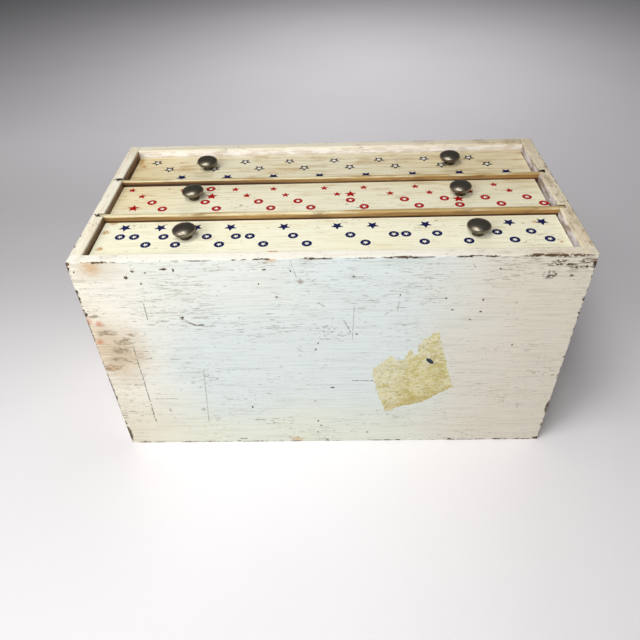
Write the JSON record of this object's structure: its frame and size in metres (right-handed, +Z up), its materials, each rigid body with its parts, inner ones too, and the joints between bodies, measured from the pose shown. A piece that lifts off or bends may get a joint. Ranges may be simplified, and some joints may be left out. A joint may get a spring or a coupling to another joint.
{
  "type": "small chest of drawers",
  "caption": "Small rectangular wooden chest with finger-jointed corners and stacked shallow drawers, each pulled straight out by round mushroom knobs.",
  "frame": {"origin": "on the resting plane, under the middle of the case as it lies on its back", "axes": "+X along the width, towards the right end seen from the bottom board's side; +Y from the case's bottom board to its top board; +Z up, the way the drawers pull out"},
  "size_m": [0.381, 0.1906, 0.2148],
  "materials": {
    "painted_wood": "chalky cream-white paint, distressed",
    "bare_wood": "bare aged softwood",
    "panel_wood": "bare thin plywood",
    "knob_metal": "dark antiqued pewter, satin",
    "screw_steel": "dull zinc-plated"
  },
  "bodies": {
    "case": {"case_bottom_board": "painted_wood", "case_top_board": "painted_wood", "case_left_board": "painted_wood", "case_right_board": "painted_wood", "case_back_panel": "panel_wood", "divider_lower": "bare_wood", "divider_upper": "bare_wood"},
    "bottom_drawer": {"bottom_drawer_front": "painted_wood", "bottom_drawer_left_side": "bare_wood", "bottom_drawer_right_side": "bare_wood", "bottom_drawer_back": "bare_wood", "bottom_drawer_bottom": "panel_wood", "bottom_drawer_knob_left": "knob_metal", "bottom_drawer_knob_right": "knob_metal", "bottom_drawer_screw_left": "screw_steel", "bottom_drawer_screw_right": "screw_steel"},
    "middle_drawer": {"middle_drawer_front": "painted_wood", "middle_drawer_left_side": "bare_wood", "middle_drawer_right_side": "bare_wood", "middle_drawer_back": "bare_wood", "middle_drawer_bottom": "panel_wood", "middle_drawer_knob_left": "knob_metal", "middle_drawer_knob_right": "knob_metal", "middle_drawer_screw_left": "screw_steel", "middle_drawer_screw_right": "screw_steel"},
    "top_drawer": {"top_drawer_front": "painted_wood", "top_drawer_left_side": "bare_wood", "top_drawer_right_side": "bare_wood", "top_drawer_back": "bare_wood", "top_drawer_bottom": "panel_wood", "top_drawer_knob_left": "knob_metal", "top_drawer_knob_right": "knob_metal", "top_drawer_screw_left": "screw_steel", "top_drawer_screw_right": "screw_steel"}
  },
  "joints": [
    {"name": "bottom_drawer_slide", "type": "slide", "parent": "case", "child": "bottom_drawer", "axis": [0, 0, 1], "range_m": [0, 0.15]},
    {"name": "middle_drawer_slide", "type": "slide", "parent": "case", "child": "middle_drawer", "axis": [0, 0, 1], "range_m": [0, 0.15]},
    {"name": "top_drawer_slide", "type": "slide", "parent": "case", "child": "top_drawer", "axis": [0, 0, 1], "range_m": [0, 0.15]}
  ]
}
